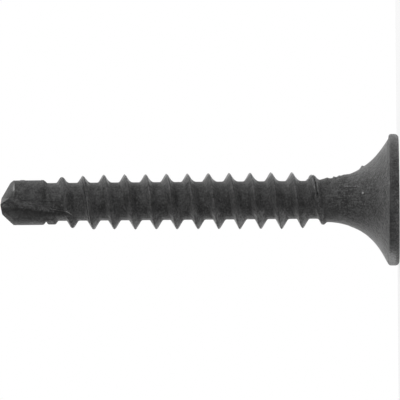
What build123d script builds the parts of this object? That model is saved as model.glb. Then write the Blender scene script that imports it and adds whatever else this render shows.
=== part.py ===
from build123d import *
from math import atan2, cos, degrees, radians, sin, sqrt, tan
import os

# Self-drilling drywall screw 3.5 x 25, one piece of steel, in millimetres and degrees.
# The axis is Z. The flat head face lies on Z = 0 and the drill point is at the top.

# Overall
LENGTH = 24.8

# Head, a bugle: a hollow curve from the neck that ends in a cone under a thin rim
HEAD_DIA = 8.19
RIM_HEIGHT = 0.65
FACE_EDGE_R = 0.28
RIM_BEVEL = 0.1
LEDGE_WIDTH = 0.16
BUGLE_R = 4.14
BUGLE_CONE = 57.5
NECK_DIA = 2.73
NECK_LENGTH = 0.1
NECK_FADE = 0.52

# Cross recess in the head face, size 2
RECESS_WIDTH = 4.6
RECESS_ROOT_DIA = 2.29
RECESS_WALL = 26.5
RECESS_CONE = 28
WING_ROOT = 0.72
WING_DRAFT = 5.75
CORE_ROOT = 1.62
CORE_DRAFT = 4

# Thread, right-hand: crest radii and heights of the run-out, the full part and the run-in
PITCH = 1.3
ROOT_DIA = 2.34
THREAD_DIA = 3.42
CREST_FLAT = 0.05
FLANK = 30
CREST_HEIGHT = 20.96
RUN_OUT_FROM = 4.13
RUN_OUT = 2.05
FULL_TURN_FROM = 6.2
FIRST_TURN_FROM = 3.9
FIRST_TURN_DIA = 3.1
RUN_IN_FROM = 2.6

# Drill body and point: lengths are taken from the tip, angles of flats from the axis
DRILL_DIA = 2.74
DRILL_LENGTH = 2.65
DRILL_STEP = 0.25
POINT_SHOULDER = 0.83
POINT_CONE = 48
FLAT_ANGLE = 61
FLAT_TIP = 0.05
BACK_ANGLE = 49
BACK_TIP = 0.34
RELIEF = 22
CHISEL_OFFSET = 0.13
CHISEL_CROWN = 11

# Flutes, two V grooves with a rounded floor and a slight right-hand twist per millimetre
FLUTE_OPENING = 90
FLUTE_FLOOR_R = 0.12
WEB_TIP = 0.87
FLUTE_BEND = 2.8
WEB_BEND = 1.74
FLUTE_LENGTH = 4.5
FLUTE_EXIT = 40
FLUTE_TURN = 12.5
FLUTE_TWIST = 5.55

# Working allowances: how deep the ridge sits in the core, how far a cutter passes a face,
# and how much slimmer a length of ridge is than the one that it joins
SINK = 0.2
OVER = 0.5
STEP = 0.01

# Derived sizes
head_r = HEAD_DIA / 2
neck_r = NECK_DIA / 2
root_r = ROOT_DIA / 2
crest_r = THREAD_DIA / 2
first_r = FIRST_TURN_DIA / 2
drill_r = DRILL_DIA / 2


def turned(outline):
    """Turn a closed half section, drawn as (radius, height), about the screw's axis."""
    return revolve(make_face(Plane.XZ * outline), Axis.Z)


def head_outline():
    """The head's half section from the middle of its face to the end of the neck."""
    corner = 1 - sqrt(0.5)
    seat_r = head_r - RIM_BEVEL - LEDGE_WIDTH
    turn = radians(BUGLE_CONE)
    cone_r = neck_r + BUGLE_R * (1 - cos(turn))
    cone_z = RIM_HEIGHT + (seat_r - cone_r) / tan(turn)
    neck_z = cone_z + BUGLE_R * sin(turn)
    face_edge = ThreePointArc(
        (head_r - FACE_EDGE_R, 0),
        (head_r - FACE_EDGE_R * corner, FACE_EDGE_R * corner),
        (head_r, FACE_EDGE_R),
    )
    rim = Polyline(
        (head_r, FACE_EDGE_R),
        (head_r, RIM_HEIGHT - RIM_BEVEL),
        (head_r - RIM_BEVEL, RIM_HEIGHT),
        (seat_r, RIM_HEIGHT),
        (cone_r, cone_z),
    )
    half_way = (neck_r + BUGLE_R * (1 - cos(turn / 2)), neck_z - BUGLE_R * sin(turn / 2))
    bugle = ThreePointArc((cone_r, cone_z), half_way, (neck_r, neck_z))
    neck_end = neck_z + NECK_LENGTH
    face = Line((0, 0), (head_r - FACE_EDGE_R, 0))
    neck = Line((neck_r, neck_z), (neck_r, neck_end))
    return face + face_edge + rim + bugle + neck, neck_end


def blank():
    """The turned shape: head, neck, thread core and drill body with its pointed end."""
    head, neck_end = head_outline()
    drill_z = LENGTH - DRILL_LENGTH
    point_r = drill_r - POINT_SHOULDER * tan(radians(POINT_CONE))
    shank = Polyline(
        (neck_r, neck_end),
        (root_r, neck_end + NECK_FADE),
        (root_r, drill_z - DRILL_STEP),
        (drill_r, drill_z),
        (drill_r, LENGTH - POINT_SHOULDER),
        (point_r, LENGTH),
        (0, LENGTH),
        (0, 0),
    )
    return turned(head + shank)


def coil(height, length, from_r, slope, slimmer):
    """A length of ridge whose crest starts at from_r and leans outwards by slope degrees."""
    depth = crest_r - root_r + SINK

    def half_width(below_crest):
        return CREST_FLAT / 2 + below_crest * tan(radians(FLANK)) - slimmer

    section = Polyline(
        (from_r - depth, -half_width(depth)),
        (from_r - slimmer, -half_width(slimmer)),
        (from_r - slimmer, half_width(slimmer)),
        (from_r - depth, half_width(depth)),
        (from_r - depth, -half_width(depth)),
    )
    path = Helix(PITCH, length, from_r, cone_angle=slope)
    ridge = Solid.sweep(make_face(Plane.XZ * section).face(), path, is_frenet=True)
    turn = 360 * (height - CREST_HEIGHT) / PITCH
    return Pos(0, 0, height) * Rot(0, 0, turn) * ridge


def thread():
    """The ridge in four lengths: the full thread, the run-out, the first turns, the run-in."""
    full_from = RUN_OUT_FROM + RUN_OUT
    full_to = LENGTH - FULL_TURN_FROM
    first_to = LENGTH - FIRST_TURN_FROM
    end = LENGTH - RUN_IN_FROM
    out_slope = atan2(crest_r - neck_r, RUN_OUT)
    first_slope = atan2(first_r - crest_r, first_to - full_to)
    in_slope = atan2(root_r - first_r, end - first_to)
    hidden = OVER / 2
    low_r = neck_r - OVER * tan(out_slope)
    return [
        coil(full_from, full_to - full_from, crest_r, 0, 0),
        coil(RUN_OUT_FROM - OVER, RUN_OUT + OVER, low_r, degrees(out_slope), STEP),
        coil(full_to, first_to - full_to, crest_r, degrees(first_slope), STEP),
        coil(first_to, end - first_to + hidden, first_r, degrees(in_slope), 2 * STEP),
    ]


def flute(side):
    """A twisted V groove whose floor climbs from the web at the tip out through the first turn."""
    opening = radians(FLUTE_OPENING / 2)
    climb = (WEB_BEND - WEB_TIP) / 2 / FLUTE_BEND
    clear_r = crest_r + SINK
    past_crest = FLUTE_LENGTH + (clear_r - root_r) / tan(radians(FLUTE_EXIT))
    floors = (
        (-OVER, WEB_TIP / 2 - climb * OVER),
        (FLUTE_BEND / 2, (WEB_TIP + WEB_BEND) / 4),
        (FLUTE_BEND, WEB_BEND / 2),
        (FLUTE_LENGTH, root_r),
        (past_crest, clear_r),
    )
    wall = DRILL_DIA
    sections = []
    for down, floor in floors:
        foot_x = floor + FLUTE_FLOOR_R * (1 - sin(opening))
        foot_y = FLUTE_FLOOR_R * cos(opening)
        lip_x = foot_x + wall * cos(opening)
        lip_y = foot_y + wall * sin(opening)
        walls = Polyline((foot_x, foot_y), (lip_x, lip_y), (lip_x, -lip_y), (foot_x, -foot_y))
        outline = walls + ThreePointArc((foot_x, -foot_y), (floor, 0), (foot_x, foot_y))
        turn = side - 90 - FLUTE_TURN - FLUTE_TWIST * down
        sections.append(Pos(0, 0, LENGTH - down) * Rot(0, 0, turn) * make_face(outline))
    return loft(sections)


def point_planes():
    """The planes that bound the point, each with its normal facing away from the steel."""
    lean = 1 / tan(radians(FLAT_ANGLE))
    back_lean = 1 / tan(radians(BACK_ANGLE))
    relief = tan(radians(RELIEF))
    crown = tan(radians(CHISEL_CROWN))
    front = (0, 0, LENGTH + FLAT_TIP)
    back = (0, 0, LENGTH + BACK_TIP)
    chisel = (-CHISEL_OFFSET, 0, LENGTH)
    return [
        Plane(origin=front, z_dir=(lean, 0, 1)),
        Plane(origin=front, z_dir=(lean, -relief, 1)),
        Plane(origin=back, z_dir=(-back_lean, relief, 1)),
        Plane(origin=chisel, z_dir=(crown, 0, 1)),
        Plane(origin=chisel, z_dir=(-crown, 0, 1)),
    ]


def recess():
    """The cross recess as a cutter: a cone cut to the shape of a cross with a square core."""
    root = RECESS_ROOT_DIA / 2
    slope = tan(radians(RECESS_WALL))
    wings_end = (RECESS_WIDTH / 2 - root) / slope
    bottom = wings_end + root * tan(radians(RECESS_CONE))
    mouth = RECESS_WIDTH / 2 + OVER * slope
    cone = turned(Polyline((0, -OVER), (mouth, -OVER), (root, wings_end), (0, bottom), (0, -OVER)))

    def bar(width, draft):
        """A tapered bar across the recess, as wide as given where the wings end."""
        ends = []
        for height in (-OVER, bottom + OVER):
            across = width + 2 * (wings_end - height) * tan(radians(draft))
            ends.append(Pos(0, 0, height) * Rectangle(across, 2 * HEAD_DIA))
        return loft(ends)

    wing = bar(WING_ROOT, WING_DRAFT)
    core = bar(CORE_ROOT, CORE_DRAFT)
    cross = wing + wing.rotate(Axis.Z, 90)
    middle = core.rotate(Axis.Z, 45) & core.rotate(Axis.Z, -45)
    return cone & (cross + middle)


def screw():
    """The whole screw as one solid."""
    body = blank()
    for length in thread():
        body += length
    for side in (0, 180):
        body -= flute(side)
    for plane in point_planes():
        body = split(body, bisect_by=plane, keep=Keep.BOTTOM)
    return body - recess()


os.makedirs("parts", exist_ok=True)
export_step(screw(), "parts/screw.step")
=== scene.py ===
import math

import bpy
import bmesh
import numpy as np
from mathutils import Matrix, Vector


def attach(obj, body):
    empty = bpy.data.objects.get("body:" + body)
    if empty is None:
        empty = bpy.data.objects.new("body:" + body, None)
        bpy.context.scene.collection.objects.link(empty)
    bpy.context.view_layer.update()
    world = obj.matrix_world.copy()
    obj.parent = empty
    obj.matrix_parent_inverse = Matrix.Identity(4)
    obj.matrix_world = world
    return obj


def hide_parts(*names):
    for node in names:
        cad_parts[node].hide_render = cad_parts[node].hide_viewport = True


# The look of a self-drilling drywall screw, one piece of black phosphated steel. Its mesh is
# drawn in millimetres, with the axis on Z, the flat head face on Z = 0 and the point at the top.
# The camera looks along +Y and is turned a quarter turn: +X is up in the picture and Z runs to
# the left. The upper side is the one at +X, and angles are counted from there.

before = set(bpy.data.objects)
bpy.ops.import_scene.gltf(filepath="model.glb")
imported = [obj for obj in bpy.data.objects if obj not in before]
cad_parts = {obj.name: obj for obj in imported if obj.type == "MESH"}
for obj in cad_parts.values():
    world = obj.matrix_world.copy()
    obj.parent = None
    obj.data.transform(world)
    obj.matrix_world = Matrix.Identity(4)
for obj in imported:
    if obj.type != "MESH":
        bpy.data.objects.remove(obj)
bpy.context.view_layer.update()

MM = 0.001
FULL_TURN = 2 * math.pi

# Overall size, and the head
LENGTH = 24.8
HEAD_R = 4.095
RIM_HEIGHT = 0.65
FACE_EDGE_R = 0.24
RIM_EDGE_R = 0.15
RIM_DIP = 0.04
SEAT_R = 3.835
BUGLE_R = 4.14
BUGLE_CONE = math.radians(57.5)
NECK_R = 1.365
NECK_Z = 4.495
NECK_END = 4.595
ROOT_Z = 5.115

# Thread: the core sits a little towards the upper side, and FLANK is rise over run. The last
# crest, the one nearest to the head, is broader and blunter than the others.
ROOT_R = 1.183
ROOT_SHIFT = 0.035
PITCH = 1.3
CREST_Z = 20.948
CREST_LIFT = 0.02
CREST_ROUND = 0.06
FLANK = 1.732
ROOT_FILLET = 0.17
LAST_CREST_Z = 5.3
LAST_CREST_RUN = 0.4

# The crest's radius and the width of its flat, by the height of the crest
CREST_RADIUS = (
    (3.9, 1.2), (4.13, 1.38), (4.78, 1.51), (5.36, 1.591), (5.99, 1.703), (6.68, 1.746),
    (17.06, 1.69), (18.32, 1.678), (19.0, 1.672), (19.66, 1.616), (20.36, 1.566),
    (20.95, 1.541), (21.59, 1.355), (22.24, 1.19),
)
CREST_WIDTH = (
    (4.5, 0.08), (4.9, 0.22), (5.1, 0.32), (5.36, 0.22), (5.7, 0.16), (6.0, 0.05), (18.3, 0.05),
    (19.0, 0.1), (19.66, 0.1), (20.36, 0.13), (20.95, 0.16), (21.59, 0.42), (22.2, 0.5),
)

# Grooves along crests that the metal hasn't filled: height of the crest, how far the groove
# runs, its place across the crest, half width, depth
SEAMS = (
    (5.25, 0.35, 0.25, 0.035, 0.12),
    (5.2, 0.3, 0.02, 0.03, 0.14),
    (19.95, 0.3, -0.1, 0.035, 0.09),
    (19.35, 0.35, 0.1, 0.03, 0.12),
)

# Lumps left by forging: angle in degrees, height, rise, half width in degrees, half length
LUMPS = (
    (0, 3.62, 0.06, 55, 0.3),
    (0, 3.4, 0.05, 30, 0.12),
    (0, 3.72, 0.05, 30, 0.08),
    (0, 3.2, 0.03, 30, 0.1),
    (0, 4.45, 0.05, 40, 0.1),
    (8, 2.29, 0.15, 14, 0.1),
    (-25, 2.05, 0.02, 25, 0.22),
    (150, 2.9, 0.04, 30, 0.25),
    (262, 3.1, 0.03, 12, 0.4),
    (0, 19.45, 0.09, 16, 0.1),
    (180, 0.9, 0.12, 70, 0.7),
    (180, 0.72, 0.05, 40, 0.08),
)

# Unevenness of the shank, the bugle and the rim
SHANK_WOBBLE = 0.006
BUGLE_WOBBLE = 0.008
RIM_WOBBLE = 0.006

# Drill body and point. SPIRE is how far the cone runs past the tip before its flats are cut.
DRILL_R = 1.392
DRILL_CONE_R = 1.37
DRILL_FROM = 21.88
DRILL_TO = 22.15
POINT_SHOULDER = 0.83
POINT_CONE = math.radians(48)
SHOULDER_Z = LENGTH - POINT_SHOULDER
POINT_R = DRILL_CONE_R - POINT_SHOULDER * math.tan(POINT_CONE)
SPIRE = 0.3
FLAT_ANGLE = math.radians(59.5)
FLAT_TIP = 0.09
BACK_ANGLE = math.radians(49)
BACK_TIP = 0.36
RELIEF = math.radians(22)
CHISEL_OFFSET = 0.13
CHISEL_CROWN = math.radians(11)

# Flutes. FLUTE_FLOOR pairs a distance down from the tip with the floor's distance from the axis,
# FLUTE_WALL places the points of a wall by their distance from its foot, FLUTE_STATIONS are the
# distances down at which the groove has an outline, and its turn and twist are in degrees.
FLUTE_OPENING = math.radians(90)
FLUTE_FLOOR_R = 0.12
FLUTE_FLOOR = ((-0.5, 0.357), (2.8, 0.87), (3.9, 1.07), (4.2, 1.17), (4.6, 1.5), (5.5, 2.3))
FLUTE_WALL = (0.12, 0.25, 0.4, 0.6, 0.8, 2.8)
FLUTE_STATIONS = (-0.5, *np.linspace(0, 4.4, 20), *np.linspace(4.5, 5.5, 10))
FLUTE_TURN = 12.5
FLUTE_TWIST = 5.55
FLUTE_SIDES = (0, 180)

# Cross recess, size 2
RECESS_R = 2.3
RECESS_ROOT_R = 1.145
RECESS_WALL = math.radians(26.5)
RECESS_CONE = math.radians(28)
WING_ROOT = 0.72
WING_DRAFT = math.radians(5.75)
CORE_ROOT = 1.62
CORE_DRAFT = math.radians(4)

# The mesh: points round the axis, the heights between which it follows the thread, and the
# heights from the crest at which it has a row on each side of the ridge
COLUMNS = 144
LOW_Z = 3.3
HIGH_Z = 23.6
ROW_HALF = (0.02, 0.04, 0.065, 0.1, 0.145, 0.19, 0.235, 0.28, 0.32, 0.36, 0.41, 0.48, 0.56)
NEAR_ZERO = 1e-6

# Marks on the photo's side: distance above the axis in the picture, height, half width, half
# length, strength
# Some light marks are painted glints: on the edge of the point's flat, on the ledge behind the
# rim, and small bright spots on the bugle and near the flutes. The rest are light streaks and
# patches.
LIGHT_MARKS_AND_GLINTS = (
    (0.862, 3.18, 0.03, 0.26, 0.4),
    (0.858, 2.64, 0.028, 0.24, 0.3),
    (0.271, 3.12, 0.03, 0.27, 0.15),
    (-0.106, 2.64, 0.03, 0.22, 0.2),
    (-0.264, 2.27, 0.03, 0.2, 0.18),
    (-0.14, 3.71, 0.03, 0.23, 0.15),
    (0.58, 3.9, 0.03, 0.3, 0.12),
    (0.438, 2.264, 0.045, 0.05, 4.0),
    (-0.19, 20.97, 0.05, 0.05, 0.35),
    (1.046, 0.63, 0.1, 0.06, 0.3),
    (0.88, 23.94, 0.22, 0.06, 0.8),
    (-3.6, 0.45, 0.4, 0.25, 1.2),
    (3.3, 0.95, 0.5, 0.2, 0.25),
)
# The two dark marks nearest the point are painted shade along the edge of a flute; the rest are
# dark scratches and pits.
DARK_MARKS_AND_SHADE = (
    (0.748, 2.97, 0.035, 0.38, 1.0),
    (0.075, 3.35, 0.03, 0.4, 0.8),
    (-0.395, 2.27, 0.03, 0.19, 0.7),
    (-0.168, 3.3, 0.035, 0.14, 0.8),
    (0.34, 2.17, 0.05, 0.06, 0.9),
    (0.36, 2.0, 0.04, 0.3, 0.4),
    (0.14, 23.1, 0.05, 0.5, 0.5),
    (0.05, 22.1, 0.05, 0.6, 0.5),
)

# Floor and light, in metres and watts. The floor lies a hair below the head face.
FLOOR_HALF = 0.15
FLOOR_BACK = 0.01
FLOOR_Z = -1e-5
FLOOR_WHITE = 0.7
WORLD_LIGHT = 0.36
LAMP_SIZE = 0.1
LAMP_AIM = (0, 0, 0.012)
LAMPS = (
    ("above", (0.1, -0.08, 0.1), 0.121),
    ("above and behind", (0.1, 0.08, 0.1), 0.086),
    ("below and behind", (-0.11, 0.1, 0.04), 0.06),
)

# Camera: the photo is 400 pixels wide, and 16.09 of them are a millimetre of the thread, which
# lies a little nearer than the axis. The screw leans by TILT in the picture.
LENS = 1400
SENSOR = 36
FRAME_WIDTH = 400 / 16.07 * MM
TILT = math.radians(0.475)
VIEW_MIDDLE = (0.081, 0, 12.372)


def soft_max(a, b, width):
    """The larger of two values, with the corner between them rounded."""
    h = np.maximum(width - np.abs(a - b), 0) / width
    return np.maximum(a, b) + h * h * width / 4


def soft_min(a, b, width):
    return -soft_max(-a, -b, width)


def smooth_step(x, low, high):
    t = np.clip((x - low) / (high - low), 0, 1)
    return t * t * (3 - 2 * t)


def bump_at(x, middle, half_width):
    """1 at the middle, fading to nothing in about twice the half width."""
    return np.exp(-(((x - middle) / half_width) ** 2))


def table(x, pairs):
    """A value read from a table of pairs, with straight lines between its points."""
    return np.interp(x, *zip(*pairs))


def wobble(angle, z, seed):
    """A smooth, repeatable unevenness between about -1 and 1 that closes round the axis."""
    out = np.zeros_like(z)
    for i in range(1, 7):
        turns = (3 * i + seed) % 11 + i
        waves = 0.7 * i + 0.37 * ((seed * i) % 5)
        around = np.sin(turns * angle + 2.1 * seed + i)
        out += around * np.cos(waves * z + 1.3 * i * seed) / i ** 0.6
    return out / 2.6


def bugle_radius(z):
    down = np.clip(NECK_Z - z, 0, BUGLE_R * math.sin(BUGLE_CONE))
    return NECK_R + BUGLE_R - np.sqrt(BUGLE_R ** 2 - down ** 2)


def lumps(angle, z):
    out = np.zeros_like(z)
    for at, height, rise, half, tall in LUMPS:
        turn = (np.degrees(angle) - at + 180) % 360 - 180
        out += rise * np.exp(-((turn / half) ** 2) - ((z - height) / tall) ** 2)
    return out


def seams(angle, crest_z, from_crest):
    """How deep the grooves along unfilled crests are. Near the head they are on top only."""
    out = np.zeros_like(crest_z)
    for place, run, across, half, depth in SEAMS:
        along = ((crest_z - place) / run) ** 2
        out += depth * np.exp(-along - ((from_crest - across) / half) ** 2)
    return out * smooth_step(np.cos(angle) + (crest_z > 15), 0.0, 0.25)


def blank_radius(angle, z):
    """The surface without its thread: bugle, neck, core and drill body."""
    root = ROOT_R + ROOT_SHIFT * np.cos(angle)
    neck = bugle_radius(z)
    r = neck + (root - neck) * smooth_step(z, NECK_END - 0.05, ROOT_Z + 0.05)
    r = r + (DRILL_R - r) * smooth_step(z, DRILL_FROM, DRILL_TO)
    r = r + lumps(angle, z)
    return r + SHANK_WOBBLE * wobble(angle, z, 3)


def ridge_radius(angle, crest_z, from_crest):
    """The surface of the ridge: a crest of uneven height, its two flanks and its grooves."""
    run = angle + FULL_TURN * (crest_z - CREST_Z) / PITCH
    crest = table(crest_z, CREST_RADIUS) + CREST_LIFT
    crest = crest + 0.018 * np.sin(5.3 * run) * np.sin(1.7 * run + 1) + 0.01 * np.sin(17 * run)
    last = bump_at(crest_z, LAST_CREST_Z, LAST_CREST_RUN)
    # near the head and on the lower side, the flanks that face the point are steeper
    low_side = 0.15 * (1 - np.cos(angle)) / 2
    steeper = low_side * smooth_step(-crest_z, -14, -11) * (from_crest > 0)
    beside = np.abs(from_crest - 0.04 * last) - table(crest_z, CREST_WIDTH) / 2
    flank = crest - FLANK * (1 + steeper) * beside
    r = soft_min(crest, flank, CREST_ROUND + 0.14 * last)
    return r - seams(angle, crest_z, from_crest)


def thread_rows():
    """The mesh of neck, thread and drill body, in rows that follow the ridge."""
    half = np.array(ROW_HALF)
    offsets = np.concatenate([-half[::-1], [0], half, [PITCH / 2]])
    first = math.floor((LOW_Z - CREST_Z) / PITCH) - 1
    last = math.ceil((HIGH_Z - CREST_Z) / PITCH) + 1
    turns = np.arange(first, last + 1)
    base = (CREST_Z + PITCH * turns[:, None] + offsets[None, :]).ravel()
    angle = np.arange(COLUMNS) * FULL_TURN / COLUMNS
    angle = np.repeat(angle[:, None], len(base), 1)
    z_free = base[None, :] + PITCH * angle / FULL_TURN
    z = np.clip(z_free, LOW_Z, HIGH_Z)
    from_crest = np.repeat(np.tile(offsets, len(turns))[None, :], COLUMNS, 0)
    ridge = ridge_radius(angle, z_free - from_crest, from_crest)
    # the ridge's foot is rounder on the upper side, most of all towards the head
    top = (1 + np.cos(angle)) / 2
    head_side = ROOT_FILLET + (0.18 + 0.08 * smooth_step(-z, -14, -12)) * top
    fillet = np.where(from_crest < 0, head_side, ROOT_FILLET - 0.09 * (1 - top))
    r = soft_max(blank_radius(angle, z), ridge, fillet)
    return angle, z_free, z, r, len(offsets)


def outline_rings():
    """Rings below the thread's mesh, as (radius, height), from the face's middle to LOW_Z."""
    rings = [(r, 0.0) for r in (0.9, 1.7, 2.5, 2.9, 3.3, 3.6)]
    for i in range(9):
        turn = math.pi / 2 * i / 8
        inward = FACE_EDGE_R * (1 - math.sin(turn))
        rings.append((HEAD_R - inward, FACE_EDGE_R * (1 - math.cos(turn))))
    rings += [(HEAD_R, z) for z in (0.34, 0.4, 0.45)]
    for i in range(6):
        turn = math.pi / 2 * i / 5
        inward = RIM_EDGE_R * (1 - math.cos(turn))
        rings.append((HEAD_R - inward, RIM_HEIGHT - RIM_EDGE_R * (1 - math.sin(turn))))
    rings += [(3.9, RIM_HEIGHT), (3.865, RIM_HEIGHT + 0.006), (3.84, RIM_HEIGHT + 0.018)]
    cone_z = NECK_Z - BUGLE_R * math.sin(BUGLE_CONE)
    cone_r = NECK_R + BUGLE_R * (1 - math.cos(BUGLE_CONE))
    for t in np.linspace(0.06, 1, 7):
        rings.append((SEAT_R + (cone_r - SEAT_R) * t, RIM_HEIGHT + (cone_z - RIM_HEIGHT) * t))
    for z in np.linspace(cone_z, LOW_Z, 36)[1:-1]:
        rings.append((float(bugle_radius(np.array(z))), float(z)))
    return rings


def ring_radius(r, z, angle):
    """A ring's radius with the lumps and a slight unevenness, never outside the CAD's rim."""
    out = np.full_like(angle, r)
    level = np.full_like(angle, z)
    if z > RIM_HEIGHT + 0.001:
        out = out + lumps(angle, level) + BUGLE_WOBBLE * wobble(angle, level, 5)
        out = np.minimum(out, HEAD_R - 0.08)
    elif r > 3.7:
        dent = RIM_WOBBLE * np.abs(wobble(angle, level * 0.5, 2))
        out = out - dent * smooth_step(np.array(r), 3.7, 4.0)
    return out


def ring_height(z, angle):
    """A ring's height: the rim's inner edge dips a little on the upper side."""
    level = np.array(z)
    dip = smooth_step(level, 0.35, 0.55) * (1 - smooth_step(level, 0.7, 1.3))
    return z - RIM_DIP * dip * np.cos(angle)


def screw_mesh():
    """The whole screw without flutes, recess and the point's flats, as one closed mesh."""
    angle = np.arange(COLUMNS) * FULL_TURN / COLUMNS
    verts, faces = [(0, 0, 0)], []

    def add_ring(radius, z):
        start = len(verts)
        for a, r, h in zip(angle, radius, np.broadcast_to(z, radius.shape)):
            verts.append((r * math.cos(a), r * math.sin(a), h))
        return [start + i for i in range(COLUMNS)]

    def add_blank_ring(z):
        return add_ring(blank_radius(angle, np.full_like(angle, z)), z)

    def join(low, high):
        for i in range(COLUMNS):
            n = (i + 1) % COLUMNS
            faces.append((low[i], low[n], high[n], high[i]))

    ring = None
    for r, z in outline_rings():
        new = add_ring(ring_radius(r, z, angle), ring_height(z, angle))
        if ring is None:
            faces += [(0, new[(i + 1) % COLUMNS], new[i]) for i in range(COLUMNS)]
        else:
            join(ring, new)
        ring = new

    low = add_blank_ring(LOW_Z)
    join(ring, low)
    high = add_blank_ring(HIGH_Z)
    a, z_free, z, r, per_turn = thread_rows()
    inside = (z_free > LOW_Z + NEAR_ZERO) & (z_free < HIGH_Z - NEAR_ZERO)
    index = np.where(z_free <= LOW_Z + NEAR_ZERO, np.array(low)[:, None], np.array(high)[:, None])
    index[inside] = len(verts) + np.arange(inside.sum())
    verts.extend(zip((r * np.cos(a))[inside], (r * np.sin(a))[inside], z[inside]))
    for i in range(COLUMNS):
        here = index[i]
        if i + 1 < COLUMNS:
            after = index[i + 1]
        else:
            after = np.concatenate([index[0][per_turn:], np.full(per_turn, high[0])])
        for j in range(z.shape[1] - 1):
            quad = (here[j], after[j], after[j + 1], here[j + 1])
            # rows that run out of the thread's stretch lie on the ring at its end
            if quad[0] == quad[3] and quad[1] == quad[2]:
                continue
            if quad[0] == quad[3]:
                faces.append(quad[:3])
            elif quad[1] == quad[2]:
                faces.append((quad[0], quad[1], quad[3]))
            else:
                faces.append(quad)

    ring = high
    for height in (23.7, 23.8, 23.89, SHOULDER_Z):
        new = add_blank_ring(height)
        join(ring, new)
        ring = new
    for t in (0.02, 0.06, 0.25, 0.5, 0.75, 1.0):
        radius = DRILL_R + (POINT_R - DRILL_R) * t
        height = SHOULDER_Z + (LENGTH + SPIRE - SHOULDER_Z) * t
        new = add_ring(np.full_like(angle, radius), height)
        join(ring, new)
        ring = new
    top = len(verts)
    verts.append((0, 0, LENGTH + SPIRE))
    faces += [(ring[i], ring[(i + 1) % COLUMNS], top) for i in range(COLUMNS)]

    mesh = bpy.data.meshes.new("screw")
    points = [tuple(MM * float(c) for c in v) for v in verts]
    mesh.from_pydata(points, [], [tuple(map(int, f)) for f in faces])
    mesh.validate()
    return mesh


def cut_point(mesh):
    """Cut the point's flats, its relief planes and the low ridge of its chisel end."""
    lean = 1 / math.tan(FLAT_ANGLE)
    back_lean = 1 / math.tan(BACK_ANGLE)
    relief = math.tan(RELIEF)
    crown = math.tan(CHISEL_CROWN)
    planes = (
        ((0, 0, LENGTH + FLAT_TIP), (lean, 0, 1)),
        ((0, 0, LENGTH + FLAT_TIP), (lean, -relief, 1)),
        ((0, 0, LENGTH + BACK_TIP), (-back_lean, relief, 1)),
        ((-CHISEL_OFFSET, 0, LENGTH), (crown, 0, 1)),
        ((-CHISEL_OFFSET, 0, LENGTH), (-crown, 0, 1)),
    )
    bm = bmesh.new()
    bm.from_mesh(mesh)
    for origin, normal in planes:
        bmesh.ops.bisect_plane(
            bm,
            geom=bm.verts[:] + bm.edges[:] + bm.faces[:],
            dist=1e-9,
            plane_co=Vector(origin) * MM,
            plane_no=Vector(normal),
            clear_outer=True,
        )
        rim = [e for e in bm.edges if e.is_boundary]
        if rim:
            bmesh.ops.edgeloop_fill(bm, edges=rim)
    bmesh.ops.triangulate(bm, faces=[f for f in bm.faces if len(f.verts) > 4])
    bmesh.ops.recalc_face_normals(bm, faces=bm.faces[:])
    bm.to_mesh(mesh)
    bm.free()


def turned(x, y, turn):
    c, s = math.cos(turn), math.sin(turn)
    return x * c - y * s, x * s + y * c


def solid_from_sections(name, sections):
    """A closed cutter from a stack of closed outlines with the same number of points."""
    count = len(sections[0])
    verts = [tuple(MM * c for c in p) for s in sections for p in s]
    faces = []
    for k in range(len(sections) - 1):
        low, high = k * count, (k + 1) * count
        for i in range(count):
            n = (i + 1) % count
            faces.append((low + i, low + n, high + n, high + i))
    faces.append(tuple(range(count))[::-1])
    faces.append(tuple((len(sections) - 1) * count + i for i in range(count)))
    mesh = bpy.data.meshes.new(name)
    mesh.from_pydata(verts, [], faces)
    bm = bmesh.new()
    bm.from_mesh(mesh)
    bmesh.ops.triangulate(bm, faces=bm.faces[:])
    bmesh.ops.recalc_face_normals(bm, faces=bm.faces[:])
    bm.to_mesh(mesh)
    bm.free()
    return bpy.data.objects.new(name, mesh)


def flute_turn(side, down):
    return np.radians(side - 90 - FLUTE_TURN - FLUTE_TWIST * down)


def flute(side):
    """A twisted V groove with a round floor, whose floor climbs out through the first turn."""
    opening = FLUTE_OPENING / 2
    sections = []
    for down in FLUTE_STATIONS:
        middle = table(down, FLUTE_FLOOR) + FLUTE_FLOOR_R
        points = []
        for i in range(9):
            turn = math.radians(-45 + 90 * i / 8)
            x, y = FLUTE_FLOOR_R * math.cos(turn), FLUTE_FLOOR_R * math.sin(turn)
            points.append((middle - x, y))
        foot_x, foot_y = points[-1]
        wall = [
            (foot_x + s * math.cos(opening), foot_y + s * math.sin(opening)) for s in FLUTE_WALL
        ]
        points += wall + [(x, -y) for x, y in reversed(wall)]
        turn = flute_turn(side, down)
        sections.append([(*turned(x, y, turn), LENGTH - down) for x, y in points])
    return solid_from_sections("flute", sections)


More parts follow.
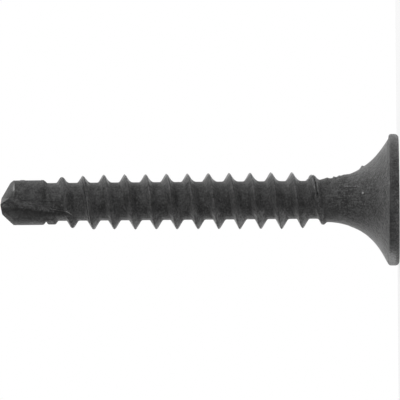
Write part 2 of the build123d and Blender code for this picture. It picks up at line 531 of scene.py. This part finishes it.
def recess():
    """The cross recess: wings that taper in depth and width, round a square core."""
    slope = math.tan(RECESS_WALL)
    wings_end = (RECESS_R - RECESS_ROOT_R) / slope
    bottom = wings_end + RECESS_ROOT_R * math.tan(RECESS_CONE)
    sections = []
    for height in (-0.3, 0.0, 0.5, 1.0, 1.6, wings_end, bottom - 0.35, bottom - 0.12):
        if height <= wings_end:
            reach = RECESS_R - height * slope
        else:
            reach = (bottom - height) / math.tan(RECESS_CONE)
        above = wings_end - height
        half = (WING_ROOT + 2 * above * math.tan(WING_DRAFT)) / 2
        core = (CORE_ROOT + 2 * above * math.tan(CORE_DRAFT)) / 2 * math.sqrt(2)
        # deep down the cone is narrower than the cross, which is kept within it
        half = min(half, reach * 0.7)
        core = min(core, reach * 1.2)
        edge = math.asin(min(half / reach, 0.99))
        end = [
            (reach * math.cos(edge * t), reach * math.sin(edge * t)) for t in (-1, -0.5, 0, 0.5, 1)
        ]
        end_x = end[-1][0]
        inner_x = core - half if core - half < end_x else end_x - 1e-3
        inner_y = max(core - half, half)
        if inner_y > end_x:
            inner_y = end_x - 1e-3
        wing = end + [(inner_x, half), (half, inner_y)]
        points = []
        for quarter in range(4):
            points += [(*turned(x, y, math.pi / 2 * quarter), height) for x, y in wing]
        sections.append(points)
    return solid_from_sections("recess", sections)


def cut(target, cutter):
    """Take the cutter out of the target's mesh, and delete the cutter."""
    bpy.context.scene.collection.objects.link(cutter)
    mod = target.modifiers.new("cut", "BOOLEAN")
    mod.operation = "DIFFERENCE"
    mod.solver = "EXACT"
    mod.object = cutter
    bpy.context.view_layer.update()
    graph = bpy.context.evaluated_depsgraph_get()
    made = bpy.data.meshes.new_from_object(target.evaluated_get(graph))
    target.modifiers.remove(mod)
    old = target.data
    target.data = made
    bpy.data.meshes.remove(old)
    mesh = cutter.data
    bpy.data.objects.remove(cutter)
    bpy.data.meshes.remove(mesh)


def thread_wear_and_light(x, height, radius, crest_z):
    """Rubbed crests and head face edge, and painted light: the ridge lighter on its lower side,
    its upper tips and the flanks that face the head.
    """
    above = height - crest_z
    on_crest = radius > table(crest_z, CREST_RADIUS) - 0.08
    wear_and_light = 0.4 * on_crest * bump_at(above, 0.03, 0.035)
    # painted light: the crests lighter on the upper side
    wear_and_light *= 0.4 + 0.6 * smooth_step(x, -0.2, 0.6)
    # painted light on the ridge's lower side and on its tips at the upper side, more towards the
    # head
    lit_sides = smooth_step(-x, 0.2, 1.3) + 0.4 * smooth_step(x, 1.2, 1.5)
    lit_sides += smooth_step(x, 1.5, 1.72)
    lit_sides *= 1 + 0.7 * smooth_step(-height, -12, -8)
    # painted light: the flanks that face the head lighter than those that face the point
    head_flank_light = 1 - 0.85 * smooth_step(above, -0.12, 0.05)
    wear_and_light += 1.2 * lit_sides * smooth_step(radius, 1.12, 1.3) * head_flank_light
    wear_and_light *= (height > 4.7) * (1 - 0.9 * smooth_step(height, 18.4, 19.4))
    # the head face's edge is rubbed, and painted lighter towards the lower side
    edge = 0.2 + 0.7 * smooth_step(-x, -2, 1)
    wear_and_light += edge * (1 - smooth_step(height, 0.05, 0.35)) * (radius > 3.7)
    # the ribs between the grooves of the last crest are rubbed too
    last = bump_at(crest_z, 5.2, 0.3) * smooth_step(x, 0.0, 0.4) * (radius > 1.3)
    for across in (0.11, -0.1):
        wear_and_light += 1.2 * last * bump_at(above, across, 0.04)
    return wear_and_light


def flute_light_and_shade(side, turn, height, radius):
    """Painted light on a flute's floor and leading wall, and painted shade on its trailing wall.
    """
    down = LENGTH - height
    across = turn - flute_turn(side, down)
    out, aside = radius * np.cos(across), radius * np.sin(across)
    floor = table(down, FLUTE_FLOOR)
    surface = np.where(height > DRILL_TO, DRILL_R, ROOT_R + 0.02) - 0.04
    within = (out > 0) & (down < 5) & (down > 0.05) & (radius < surface)
    leading = within & (np.abs(aside - out + floor - 0.05) < 0.03) & (aside > 0.04)
    at_floor = within & (np.abs(aside) < 0.087) & (out < floor + 0.05)
    trailing = within & (np.abs(-aside - out + floor - 0.05) < 0.03) & (aside < -0.087)
    wear_and_light = (1.8 * leading + 0.8 * at_floor) * (1 - smooth_step(down, 3.1, 3.75))
    shade = trailing * (1 - smooth_step(-aside, 0.3, 0.8)) * (1 - smooth_step(down, 3.8, 4.4))
    return wear_and_light, shade


def store_wear_and_light(mesh):
    """Write wear with painted light, painted shade and the thread's ridge to the mesh, for the
    material.
    """
    co = np.empty(len(mesh.vertices) * 3)
    mesh.vertices.foreach_get("co", co)
    x, y, height = (co.reshape(-1, 3) / MM).T
    radius = np.hypot(x, y)
    turn = np.arctan2(y, x) % FULL_TURN
    nearest = np.round((height - CREST_Z - PITCH * turn / FULL_TURN) / PITCH)
    crest_z = CREST_Z + PITCH * (nearest + turn / FULL_TURN)
    wear_and_light = thread_wear_and_light(x, height, radius, crest_z)
    # painted shade in the grooves along the crests
    shade = 12 * seams(turn, crest_z, height - crest_z) * (radius > 1.2)
    for side in FLUTE_SIDES:
        more_light, more_shade = flute_light_and_shade(side, turn, height, radius)
        wear_and_light += more_light
        shade += more_shade
    fading = 1 - smooth_step(height, 20, 21.5)
    ridge = smooth_step(radius, 1.25, 1.5) * (height > 4.6) * fading
    for name, value in (("wear_and_light", wear_and_light), ("shade", shade), ("ridge", ridge)):
        layer = mesh.attributes.new(name, "FLOAT", "POINT")
        layer.data.foreach_set("value", np.clip(value, 0, 2).astype(np.float32))


def steel():
    """Black phosphated steel: a grainy coat, rubbed on edges, scratched near the head, with
    painted light and shade.
    """
    mat = bpy.data.materials.new("phosphated_steel")
    mat.use_nodes = True
    nodes, links = mat.node_tree.nodes, mat.node_tree.links
    bsdf = nodes["Principled BSDF"]

    def add(kind, **values):
        node = nodes.new(kind)
        for key, value in values.items():
            setattr(node, key, value)
        return node

    def plug(socket, value):
        if hasattr(value, "links"):
            links.new(value, socket)
        else:
            socket.default_value = value

    def math_node(op, *values, clamp=False):
        node = add("ShaderNodeMath", operation=op, use_clamp=clamp)
        for socket, value in zip(node.inputs, values):
            plug(socket, value)
        return node.outputs[0]

    def plus(a, b):
        return math_node("ADD", a, b)

    def times(a, b, clamp=False):
        return math_node("MULTIPLY", a, b, clamp=clamp)

    def times_plus(a, b, c, clamp=False):
        return math_node("MULTIPLY_ADD", a, b, c, clamp=clamp)

    def span(value, low, high, to_low=0.0, to_high=1.0):
        """A smooth step of a value from low to high, which may run downwards."""
        node = add("ShaderNodeMapRange", interpolation_type="SMOOTHSTEP")
        plug(node.inputs["Value"], value)
        plug(node.inputs["From Min"], low)
        plug(node.inputs["From Max"], high)
        plug(node.inputs["To Min"], to_low)
        plug(node.inputs["To Max"], to_high)
        return node.outputs["Result"]

    def noise(scale, detail, rough, where):
        node = add("ShaderNodeTexNoise")
        node.inputs["Scale"].default_value = scale
        node.inputs["Detail"].default_value = detail
        node.inputs["Roughness"].default_value = rough
        links.new(where, node.inputs["Vector"])
        return node.outputs[0]

    def painted(base, factor, tone):
        """The colour so far, mixed with a grey by a factor."""
        node = add("ShaderNodeMix", data_type="RGBA")
        plug(node.inputs[0], factor)
        plug(node.inputs[6], base)
        plug(node.inputs[7], grey(tone))
        return node.outputs[2]

    def grey(v):
        return (v, v, v, 1)

    def stored(name):
        return add("ShaderNodeAttribute", attribute_name=name).outputs["Fac"]

    # places in millimetres
    scaled = add("ShaderNodeVectorMath", operation="SCALE")
    links.new(add("ShaderNodeTexCoord").outputs["Object"], scaled.inputs[0])
    scaled.inputs["Scale"].default_value = 1000
    where = scaled.outputs[0]
    parts = add("ShaderNodeSeparateXYZ")
    links.new(where, parts.inputs[0])
    x, y, z = parts.outputs

    def mark(across, along, half_width, half_length, strength):
        """A soft streak that lies along the axis."""
        a = times_plus(x, 1 / half_width, -across / half_width)
        b = times_plus(z, 1 / half_length, -along / half_length)
        a = times(a, a)
        b = times(b, b)
        near = times_plus(b, b, a)
        return times(math_node("EXPONENT", times(near, -1.0)), strength)

    def marks(rows):
        """All marks of a list, on the photo's side only."""
        out = mark(*rows[0])
        for row in rows[1:]:
            out = plus(out, mark(*row))
        return times(out, span(y, 0.0, -0.1))

    drawn_out = add("ShaderNodeMapping")
    drawn_out.inputs["Location"].default_value = (4, 0, 0)
    drawn_out.inputs["Scale"].default_value = (1, 1, 0.09)
    links.new(where, drawn_out.inputs["Vector"])

    cloud = noise(0.8, 3, 0.55, where)
    blotch = noise(3.0, 4, 0.6, where)
    grain = noise(8.5, 3, 0.65, where)
    fine = noise(22, 2, 0.5, where)
    lines = noise(7, 3, 0.6, drawn_out.outputs[0])
    forged = span(z, 5.0, 4.2)
    threaded = span(z, 4.8, 5.2)

    # the coat's own grain, coarser on the bugle and finer on the drill body
    tone = times_plus(cloud, 0.25, times(blotch, 0.2))
    tone = times_plus(grain, 0.38, tone)
    tone = times_plus(fine, 0.17, tone)
    coarse = times(span(z, 4.6, 3.6, 0.0, 0.35), span(z, 0.6, 0.7))
    coarse = plus(coarse, span(z, 21.5, 22.0, 0.0, -0.13))
    tone = times_plus(plus(grain, -0.5), coarse, tone)
    base = painted(grey(0.012), span(tone, 0.4, 0.61), 0.07)

    # painted light: the bugle, lighter towards its upper and lower sides, the neck's underside,
    # the rim towards its lower side, and the upper side of the thread towards the head
    bugle_light = times(span(z, 4.0, 1.8, 0.0, 0.2), span(z, 0.7, 1.6))
    bugle_light = times(bugle_light, span(times(x, x), 0.0, 3.0, 0.4, 1.15))
    underside_light = times(span(x, -0.3, -0.7, 0.0, 0.22), span(z, 4.9, 4.5))
    rim = times(span(z, 0.55, 0.4), span(x, 1.5, -1.5, 0.05, 0.26))
    upper_side_light = times(span(x, 0.2, 0.8, 0.0, 0.2), span(z, 17.0, 12.0))
    painted_light = plus(bugle_light, times(underside_light, span(z, 3.2, 3.6)))
    painted_light = plus(plus(painted_light, rim), times(upper_side_light, threaded))
    base = painted(base, painted_light, 0.09)

    # painted shade on the ledge behind the rim with a painted highlight on its edge, and a broken
    # band of painted shade low on the thread
    ledge_shade = times(span(z, 0.48, 0.56), span(z, 0.78, 0.7))
    base = painted(base, times(ledge_shade, 0.25), 0.008)
    # painted highlight along the ledge's edge
    base = painted(base, times(span(z, 0.68, 0.72), span(z, 0.82, 0.78, 0.0, 0.3)), 0.12)
    # painted shade in a broken band along the lower side of the roots
    root_shade_band = times(span(x, -1.08, -1.0), span(x, -0.86, -0.94))
    root_shade_band = times(root_shade_band, times(threaded, span(z, 21.5, 20.5)))
    root_shade_band = times(root_shade_band, span(blotch, 0.46, 0.56))
    base = painted(base, times(root_shade_band, 0.8), 0.006)

    # specks, and the streaks of forging
    base = painted(base, times(span(grain, 0.58, 0.74), 0.5), 0.12)
    base = painted(base, times(span(lines, 0.56, 0.72), times(forged, 0.4)), 0.09)
    base = painted(base, times(span(lines, 0.45, 0.3), times(forged, 0.6)), 0.01)

    # wear with painted light, painted shade, and single marks, some of them painted glints and
    # shade
    rubbed_and_lit = times(stored("wear_and_light"), span(tone, 0.47, 0.59, 0.15, 1.0), clamp=True)
    base = painted(base, rubbed_and_lit, 0.2)
    # painted shade along the lower side of the drill body
    low_edge_shade = times(span(x, -0.85, -1.2), span(z, 20.3, 21.3))
    shade = plus(stored("shade"), low_edge_shade)
    base = painted(base, times(shade, 0.5, clamp=True), 0.01)
    light_marks_and_glints = times(marks(LIGHT_MARKS_AND_GLINTS), span(grain, 0.4, 0.6, 0.45, 1.2))
    dark_marks_and_shade = marks(DARK_MARKS_AND_SHADE)
    base = painted(base, math_node("MINIMUM", light_marks_and_glints, 1.0), 0.3)
    base = painted(base, math_node("MINIMUM", dark_marks_and_shade, 0.95), 0.006)
    links.new(base, bsdf.inputs["Base Color"])

    # gloss: uneven, and stronger where the ridge is seen at a low angle
    rough = times_plus(grain, 0.15, times_plus(blotch, 0.25, 0.33))
    links.new(rough, bsdf.inputs["Roughness"])
    bsdf.inputs["Metallic"].default_value = 0
    grazing = span(add("ShaderNodeLayerWeight").outputs["Facing"], 0.6, 1.0)
    edge_gloss = times(stored("ridge"), grazing)
    links.new(times_plus(edge_gloss, 0.8, 0.18), bsdf.inputs["Specular IOR Level"])
    sheen = times_plus(span(z, 21.4, 22.0), -0.12, span(z, 5.0, 1.5, 0.14, 0.42))
    sheen = times_plus(edge_gloss, 0.7, sheen)
    sheen = times_plus(ledge_shade, -0.15, sheen, clamp=True)
    links.new(sheen, bsdf.inputs["Sheen Weight"])
    bsdf.inputs["Sheen Roughness"].default_value = 0.42

    height = times_plus(blotch, 0.55, times(grain, 0.35))
    height = times_plus(fine, 0.12, height)
    height = times_plus(times(lines, forged), 0.25, height)
    height = times_plus(dark_marks_and_shade, -0.3, height)
    bump = add("ShaderNodeBump")
    bump.inputs["Strength"].default_value = 0.8
    bump.inputs["Distance"].default_value = 0.00012
    links.new(height, bump.inputs["Height"])
    links.new(bump.outputs[0], bsdf.inputs["Normal"])
    return mat


def seen_directly(tree):
    """1 for what the camera sees, straight or in gloss or glass, and 0 for light on the object."""
    path = tree.nodes.new("ShaderNodeLightPath")
    value = path.outputs["Is Camera Ray"]
    for kind in ("Is Glossy Ray", "Is Transmission Ray"):
        larger = tree.nodes.new("ShaderNodeMath")
        larger.operation = "MAXIMUM"
        tree.links.new(value, larger.inputs[0])
        tree.links.new(path.outputs[kind], larger.inputs[1])
        value = larger.outputs[0]
    return value


def product(tree, a, b):
    """The product of two values, of which the second may be a number."""
    node = tree.nodes.new("ShaderNodeMath")
    node.operation = "MULTIPLY"
    tree.links.new(a, node.inputs[0])
    if isinstance(b, float):
        node.inputs[1].default_value = b
    else:
        tree.links.new(b, node.inputs[1])
    return node.outputs[0]


def mixed(tree, share, first, second):
    """Two shaders mixed by a share of the second."""
    node = tree.nodes.new("ShaderNodeMixShader")
    tree.links.new(share, node.inputs[0])
    tree.links.new(first, node.inputs[1])
    tree.links.new(second, node.inputs[2])
    return node.outputs[0]


def floor_material():
    """A pale floor that shows as nearly white. A camera below it sees through."""
    mat = bpy.data.materials.new("floor")
    mat.use_nodes = True
    tree = mat.node_tree
    bsdf = tree.nodes["Principled BSDF"]
    bsdf.inputs["Base Color"].default_value = (0.9, 0.9, 0.9, 1)
    bsdf.inputs["Roughness"].default_value = 0.9
    bsdf.inputs["Specular IOR Level"].default_value = 0
    white = tree.nodes.new("ShaderNodeEmission").outputs[0]
    share = product(tree, seen_directly(tree), FLOOR_WHITE)
    pale = mixed(tree, share, bsdf.outputs[0], white)
    clear = tree.nodes.new("ShaderNodeBsdfTransparent").outputs[0]
    seen = tree.nodes.new("ShaderNodeLightPath").outputs["Is Camera Ray"]
    from_below = tree.nodes.new("ShaderNodeNewGeometry").outputs["Backfacing"]
    surface = mixed(tree, product(tree, seen, from_below), pale, clear)
    tree.links.new(surface, tree.nodes["Material Output"].inputs["Surface"])
    return mat


def lamp(name, place, watts):
    data = bpy.data.lights.new(name, "AREA")
    data.shape = "SQUARE"
    data.size = LAMP_SIZE
    data.energy = watts
    obj = bpy.data.objects.new(name, data)
    obj.location = Vector(place)
    obj.rotation_euler = (Vector(LAMP_AIM) - obj.location).to_track_quat("-Z", "Y").to_euler()
    bpy.context.scene.collection.objects.link(obj)


def white_world():
    """A world that the camera sees as white, and that lights the object at a lower level."""
    world = bpy.data.worlds.new("white")
    bpy.context.scene.world = world
    world.use_nodes = True
    tree = world.node_tree
    back = tree.nodes["Background"]
    back.inputs["Color"].default_value = (1, 1, 1, 1)
    level = tree.nodes.new("ShaderNodeMapRange")
    level.inputs["To Min"].default_value = WORLD_LIGHT
    level.inputs["To Max"].default_value = 1.0
    tree.links.new(seen_directly(tree), level.inputs["Value"])
    tree.links.new(level.outputs[0], back.inputs["Strength"])


# The screw
screw = bpy.data.objects.new("screw_look", screw_mesh())
cut_point(screw.data)
bpy.context.scene.collection.objects.link(screw)
for side in FLUTE_SIDES:
    cut(screw, flute(side))
cut(screw, recess())
screw.data.polygons.foreach_set("use_smooth", [True] * len(screw.data.polygons))
screw.data.set_sharp_from_angle(angle=math.radians(38))
store_wear_and_light(screw.data)
screw.data.materials.clear()
screw.data.materials.append(steel())
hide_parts("screw")
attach(screw, "root")

# The floor ends close behind the screw, because further back it would show in the picture
floor_mesh = bpy.data.meshes.new("floor")
corners = (
    (-FLOOR_HALF, -FLOOR_HALF),
    (FLOOR_HALF, -FLOOR_HALF),
    (FLOOR_HALF, FLOOR_BACK),
    (-FLOOR_HALF, FLOOR_BACK),
)
floor_mesh.from_pydata([(x, y, FLOOR_Z) for x, y in corners], [], [(0, 1, 2, 3)])
floor_mesh.materials.append(floor_material())
floor = bpy.data.objects.new("floor", floor_mesh)
bpy.context.scene.collection.objects.link(floor)

white_world()
for name, place, watts in LAMPS:
    lamp(name, place, watts)

# The camera
right = Vector((-math.sin(TILT), 0, -math.cos(TILT)))
up = Vector((math.cos(TILT), 0, -math.sin(TILT)))
backward = right.cross(up)
place = Vector(VIEW_MIDDLE) * MM + backward * (FRAME_WIDTH * LENS / SENSOR)
camera = bpy.data.objects.new("camera", bpy.data.cameras.new("camera"))
camera.data.lens = LENS
camera.data.sensor_width = SENSOR
camera.data.clip_start = 0.1
camera.data.clip_end = 20
# three turns about X, Y and Z would be inexact here, because the second is a quarter turn
camera.rotation_mode = "QUATERNION"
camera.matrix_world = Matrix(
    (
        (right.x, up.x, backward.x, place.x),
        (right.y, up.y, backward.y, place.y),
        (right.z, up.z, backward.z, place.z),
        (0, 0, 0, 1),
    )
)
bpy.context.scene.collection.objects.link(camera)
bpy.context.scene.camera = camera
bpy.context.scene.view_settings.view_transform = "Standard"
